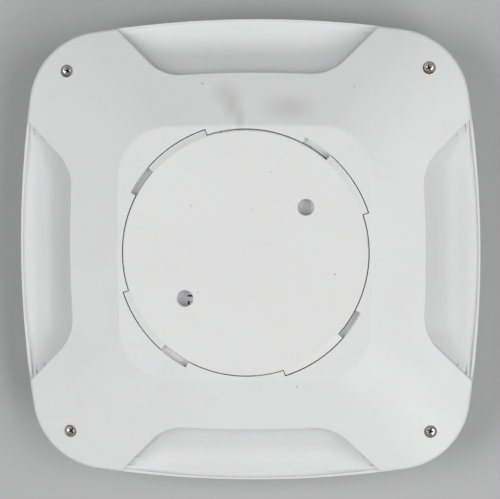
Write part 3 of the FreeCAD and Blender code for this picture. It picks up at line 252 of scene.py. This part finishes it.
def block_label(name):
    """Satin label film with a patch of meaningless printed squares and a paler margin."""
    f = Finish(name)
    shift = f.node("ShaderNodeVectorMath")
    shift.operation = "ADD"
    shift.inputs[1].default_value = (0.0166, 0.0013, 0.0)
    f.join(f.where, shift.inputs[0])
    grid = f.node("ShaderNodeVectorMath")
    grid.operation = "SNAP"
    grid.inputs[1].default_value = (0.00056, 0.00056, 1.0)
    f.join(shift.outputs[0], grid.inputs[0])
    random = f.node("ShaderNodeTexWhiteNoise")
    random.noise_dimensions = "2D"
    f.join(grid.outputs[0], random.inputs["Vector"])
    ink = f.ramp(random.outputs["Value"], 0.55, 0.551)
    axes = f.node("ShaderNodeSeparateXYZ")
    f.join(f.where, axes.inputs[0])
    left = f.maths("LESS_THAN", axes.outputs["X"], -0.0066)
    right = f.maths("GREATER_THAN", axes.outputs["X"], -0.0166)
    low = f.maths("GREATER_THAN", axes.outputs["Y"], -0.0150)
    high = f.maths("LESS_THAN", axes.outputs["Y"], -0.0042)
    patch = f.maths("MULTIPLY", f.maths("MULTIPLY", left, right), f.maths("MULTIPLY", low, high))
    film = f.blend(f.ramp(f.noise(0.006, 4.0), 0.3, 0.7), (0.640, 0.625, 0.665), (0.710, 0.695, 0.735))
    f.colour(f.blend(f.maths("MULTIPLY", ink, patch), film, (0.035, 0.035, 0.038)))
    f.rough(f.ramp(f.noise(0.0024, 3.0), 0.3, 0.7, 0.36, 0.52))
    f.relief((f.noise(0.0008, 3.0), 0.000006))
    return f.material


# On the housing the first four spots are painted dark reflections on the top slope; the last two are grains.
white = moulded_white("housing_plastic", (0.772, 0.774, 0.774), (0.744, 0.745, 0.741), 0.47, 0.0,
                      ((-5.6, 45.0, 5.0, 4.2, 0.20), (-3.6, 41.2, 3.6, 4.8, 0.26), (-1.3, 37.6, 2.0, 3.6, 0.24), (12.5, 40.8, 9.0, 4.5, 0.26),
                       (-12.2, 47.7, 0.5, 0.3, 0.8), (30.7, 46.5, 0.3, 0.4, 0.8)))
white_front = moulded_white("front_plastic", (0.748, 0.748, 0.750), (0.722, 0.721, 0.719), 0.46, 1.7)
white_disc = moulded_white("bracket_plastic", (0.783, 0.784, 0.780), (0.758, 0.758, 0.751), 0.50, 3.1,
                           ((-15.1, 13.3, 0.32, 0.4, 0.7), (7.3, 22.6, 0.3, 0.4, 0.6), (1.9, 12.2, 0.35, 0.3, 0.6), (-13.4, -11.0, 0.3, 0.3, 0.6)))
nickel = plated("nickel_plate", (0.72, 0.675, 0.60), (0.62, 0.575, 0.505), 0.15)
# Near-black metal for the screws' cross recesses: painted shade, standing in for the dark deep in the recess.
recess_painted_shade = plated("painted_recess_shade", (0.10, 0.088, 0.072), (0.055, 0.048, 0.040), 0.42)
contact = plated("tinned_spring", (0.68, 0.67, 0.65), (0.57, 0.56, 0.54), 0.28)
black = resin("black_moulding", (0.018, 0.018, 0.019), (0.030, 0.030, 0.031), 0.50)
dark = resin("potting_resin", (0.022, 0.018, 0.024), (0.040, 0.034, 0.042), 0.34)
sleeve = resin("cell_sleeve", (0.185, 0.20, 0.225), (0.235, 0.25, 0.275), 0.30, 0.009, 0.0007)
ceramic = resin("antenna_ceramic", (0.62, 0.61, 0.56), (0.72, 0.71, 0.66), 0.46)
brass = resin("brass_disc", (0.62, 0.44, 0.17), (0.50, 0.35, 0.13), 0.30, 0.005, 0.0005, Metallic=1.0)
clear = resin("clear_resin", (0.80, 0.85, 0.90), (0.72, 0.78, 0.84), 0.12, Transmission_Weight=0.75, IOR=1.53)
lens = resin("lens_resin", (0.78, 0.80, 0.80), (0.68, 0.71, 0.71), 0.20, Transmission_Weight=0.45, IOR=1.50)
green = laminate("board_laminate")
screen = perforated("insect_screen")
printed = block_label("label_film")

FINISHES = {
    "mounting_bracket": white_disc, "rear_cover": white, "front_cover": white_front,
    "housing_screws": nickel, "circuit_board": green, "board_screws": contact,
    "chamber_base": black, "chamber_cover": black, "insect_mesh": screen,
    "ir_emitter": clear, "photodiode": dark, "thermistor": dark,
    "sounder_cup": black, "piezo_disc": brass, "sounder_contacts": contact,
    "main_cell_left": sleeve, "main_cell_right": sleeve, "cell_holder_left": black, "cell_holder_right": black,
    "cell_plate_left": contact, "cell_plate_right": contact, "cell_spring_left": contact, "cell_spring_right": contact,
    "coin_cell_holder": black, "coin_cell": contact, "antennas": ceramic, "rf_shield": contact,
    "controller_chip": dark, "storage_capacitor": sleeve, "boost_choke": dark, "board_header": black,
    "button_board": green, "board_spacers": black, "status_led": clear, "test_switch": black,
    "test_switch_key": black, "test_button": white_front, "indicator_lens": lens, "tamper_switch": black,
    "tamper_plunger": white_disc, "power_switch": contact, "power_switch_slider": black, "id_label": printed,
}
for node, finish in FINISHES.items():
    obj = NODES[node]
    obj.data.materials.clear()
    obj.data.materials.append(finish)


# ---------------------------------------------------------------- pieces
def corner_screws():
    """Four pan-head screws with a domed crown, a tapering cross recess coloured with painted shade, and a coarse
    thread.
    """
    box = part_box("housing_screws")
    reach = (box[1].x - box[0].x) / 2 / MM
    head, crown, seat, tip = 1.55, -12.30, -13.40, -23.00
    centre = reach - head
    ball = 2.65
    turns = 96

    def recess(x, y):
        """Depth of the cross below the crown, mm."""
        deepest = 0.0
        for along, across in ((abs(x), abs(y)), (abs(y), abs(x))):
            side = min(1.0, max(0.0, (0.215 - across) / 0.06))
            end = min(1.0, max(0.0, (0.90 - along) / 0.09))
            deepest = max(deepest, side * end * (1.05 - 0.62 * along / 0.90))
        if x * x + y * y < 0.30 * 0.30:
            deepest = max(deepest, 0.95)
        return deepest

    bm = bmesh.new()
    for (sx, sy), spin in zip(((1, 1), (-1, 1), (-1, -1), (1, -1)), (17.0, 63.0, 40.0, 74.0)):
        spin = math.radians(spin)
        loops = []

        def loop(r, z, dent=None):
            made = []
            for k in range(turns):
                a = 2 * math.pi * k / turns
                x, y = r * math.cos(a), r * math.sin(a)
                down = dent(x, y) if dent else 0.0
                c, s = math.cos(spin), math.sin(spin)
                made.append(bm.verts.new(((centre * sx + c * x - s * y) * MM, (centre * sy + s * x + c * y) * MM, (z - down) * MM)))
            loops.append((made, r))

        for step in range(1, 37):
            r = 1.36 * step / 36
            loop(r, crown - (ball - math.sqrt(ball * ball - r * r)), recess)
        shoulder = crown - (ball - math.sqrt(ball * ball - 1.36 * 1.36))
        for step in range(1, 7):
            t = math.radians(31 + 59 * step / 6)
            loop(1.36 + 0.19 * (math.sin(t) - 0.515) / 0.485, shoulder - 0.27 * (0.857 - math.cos(t)) / 0.857)
        loop(head, seat + 0.06)
        loop(head - 0.06, seat)
        loop(1.0, seat)
        pitch, levels = 0.9, 84
        for level in range(levels + 1):
            z = seat - 0.05 - (abs(tip) - abs(seat) - 0.10) * level / levels
            made = []
            taper = min(1.0, (z - tip) / 1.6) * 0.45 + 0.55
            for k in range(turns):
                a = 2 * math.pi * k / turns
                wave = abs(((z / pitch - k / turns) % 1.0) * 2 - 1)
                r = (0.74 + 0.25 * wave ** 2) * taper
                made.append(bm.verts.new(((centre * sx + r * math.cos(a + spin)) * MM, (centre * sy + r * math.sin(a + spin)) * MM, z * MM)))
            loops.append((made, 0.0))
        first = loops[0][0]
        # Faces inside the cross recess take the second slot, the painted recess shade.
        hub = bm.verts.new((centre * sx * MM, centre * sy * MM, (crown - recess(0, 0)) * MM))
        for k in range(turns):
            bm.faces.new((hub, first[k], first[(k + 1) % turns])).material_index = 1
        for n, ((a, _), (b, outer)) in enumerate(zip(loops, loops[1:])):
            for k in range(turns):
                face = bm.faces.new((a[k], b[k], b[(k + 1) % turns], a[(k + 1) % turns]))
                if n < 36:
                    t = 2 * math.pi * (k + 0.5) / turns
                    if recess(outer * math.cos(t), outer * math.sin(t)) > 0.12:
                        face.material_index = 1
        last = loops[-1][0]
        point = bm.verts.new((centre * sx * MM, centre * sy * MM, tip * MM))
        for k in range(turns):
            bm.faces.new((last[k], point, last[(k + 1) % turns]))
    for face in bm.faces:
        face.smooth = face.material_index == 0
    mesh = bpy.data.meshes.new("corner_screws")
    bm.to_mesh(mesh)
    bm.free()
    # Slot 1 holds the painted recess shade for the cross.
    mesh.materials.append(nickel)
    mesh.materials.append(recess_painted_shade)
    screws = bpy.data.objects.new("corner_screws", mesh)
    bpy.context.scene.collection.objects.link(screws)
    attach(screws, "detector")
    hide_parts("housing_screws")


corner_screws()


# ---------------------------------------------------------------- studio
def sweep_floor():
    """A flat pale floor that curves up all round, far out, into its own backdrop."""
    mesh = bpy.data.meshes.new("studio_floor")
    profile = [(0.0, 0.0), (0.35, 0.0), (0.9, 0.0), (1.5, 0.0)]
    profile += [(1.5 + 1.1 * math.sin(a * math.pi / 36), 1.1 * (1 - math.cos(a * math.pi / 36))) for a in range(1, 17)]
    turns = 96
    bm = bmesh.new()
    ground = CAD_BOX[0].z - 0.00002
    rings = []
    for r, h in profile:
        if r == 0.0:
            rings.append([bm.verts.new((0, 0, ground))])
        else:
            rings.append([bm.verts.new((r * math.cos(2 * math.pi * k / turns), r * math.sin(2 * math.pi * k / turns), ground + h))
                          for k in range(turns)])
    for k in range(turns):
        bm.faces.new((rings[0][0], rings[1][k], rings[1][(k + 1) % turns]))
    for a, b in zip(rings[1:], rings[2:]):
        for k in range(turns):
            bm.faces.new((a[k], b[k], b[(k + 1) % turns], a[(k + 1) % turns]))
    for face in bm.faces:
        face.smooth = True
    bm.to_mesh(mesh)
    bm.free()
    floor = bpy.data.objects.new("studio_floor", mesh)
    bpy.context.scene.collection.objects.link(floor)
    f = Finish("studio_paper")
    f.colour(f.blend(f.ramp(f.noise(0.4, 3.0), 0.3, 0.7), (0.455, 0.455, 0.457), (0.475, 0.475, 0.477)))
    f.rough(f.ramp(f.noise(0.02, 3.0), 0.3, 0.7, 0.80, 0.90))
    f.relief((f.noise(0.0012, 3.0), 0.00002))
    mesh.materials.append(f.material)


def lamp(name, at, aim, wide, power, tint=(1.0, 1.0, 1.0)):
    data = bpy.data.lights.new(name, "AREA")
    data.shape = "RECTANGLE"
    data.size = data.size_y = wide
    data.energy = power
    data.color = tint
    made = bpy.data.objects.new(name, data)
    made.location = at
    made.rotation_mode = "QUATERNION"
    made.rotation_quaternion = (Vector(aim) - Vector(at)).to_track_quat("-Z", "Y")
    bpy.context.scene.collection.objects.link(made)


sweep_floor()
lamp("right_softbox", (0.9642, 0.0, 1.1341), (0, 0, -0.015), 0.9, 7.98)
lamp("left_softbox", (-0.9642, 0.0, 1.1341), (0, 0, -0.015), 0.9, 9.94)
lamp("lower_right_softbox", (0.7583, -0.7583, 0.8849), (0, 0, -0.015), 0.5, 5.29)

world = bpy.data.worlds.new("studio_air")
world.use_nodes = True
air = world.node_tree.nodes["Background"]
air.inputs["Color"].default_value = (0.97, 0.985, 1.0, 1.0)
air.inputs["Strength"].default_value = 0.227
scene = bpy.context.scene
scene.world = world
scene.view_settings.view_transform = "Standard"
scene.view_settings.look = "None"

# ---------------------------------------------------------------- camera
camera = bpy.data.objects.new("camera", bpy.data.cameras.new("camera"))
scene.collection.objects.link(camera)
camera.data.sensor_width = 36.0
camera.data.lens = 2446.35 / 500 * 36.0
camera.data.dof.use_dof = False
camera.data.clip_start, camera.data.clip_end = 0.05, 20.0
camera.rotation_mode = "QUATERNION"
camera.location = (0.0523857, 0.0341316, 0.683000)
turn = Matrix.Rotation(-0.007127, 3, "Z") @ Matrix.Rotation(0.074189, 3, "Y") @ Matrix.Rotation(-0.048907, 3, "X")
camera.rotation_quaternion = turn.to_quaternion()
scene.camera = camera

# ---------------------------------------------------------------- end
bpy.context.view_layer.update()
